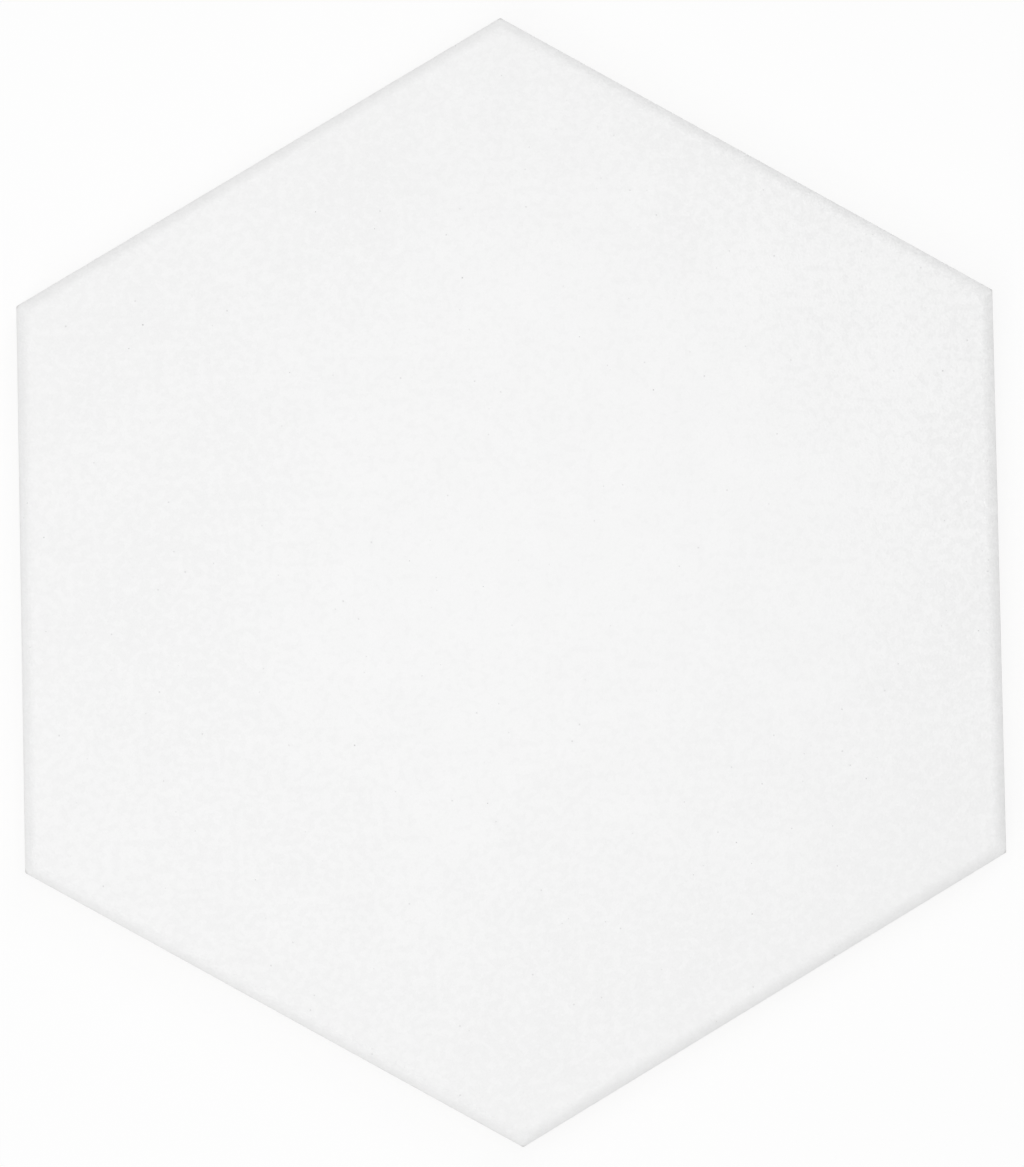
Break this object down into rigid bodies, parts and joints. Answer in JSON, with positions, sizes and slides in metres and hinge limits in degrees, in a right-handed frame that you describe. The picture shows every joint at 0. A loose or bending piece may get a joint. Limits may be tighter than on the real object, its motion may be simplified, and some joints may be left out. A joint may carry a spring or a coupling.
{
  "type": "hexagonal ceramic tile",
  "caption": "Flat hexagonal ceramic tile with a matte white face, a cushioned edge, square sides and a honeycomb keying relief on its back.",
  "frame": {"origin": "middle of the bedding plane, where the ribs of the back stand on the floor", "axes": "+Z out of the glazed face, +Y towards one corner of the hexagon, +X square to one of its sides"},
  "size_m": [0.175, 0.202, 0.009],
  "materials": {
    "white_glaze": "matte white glaze with a fine stipple on the face, bare pale body on the back"
  },
  "bodies": {
    "root": {"tile": "white_glaze"}
  },
  "joints": []
}
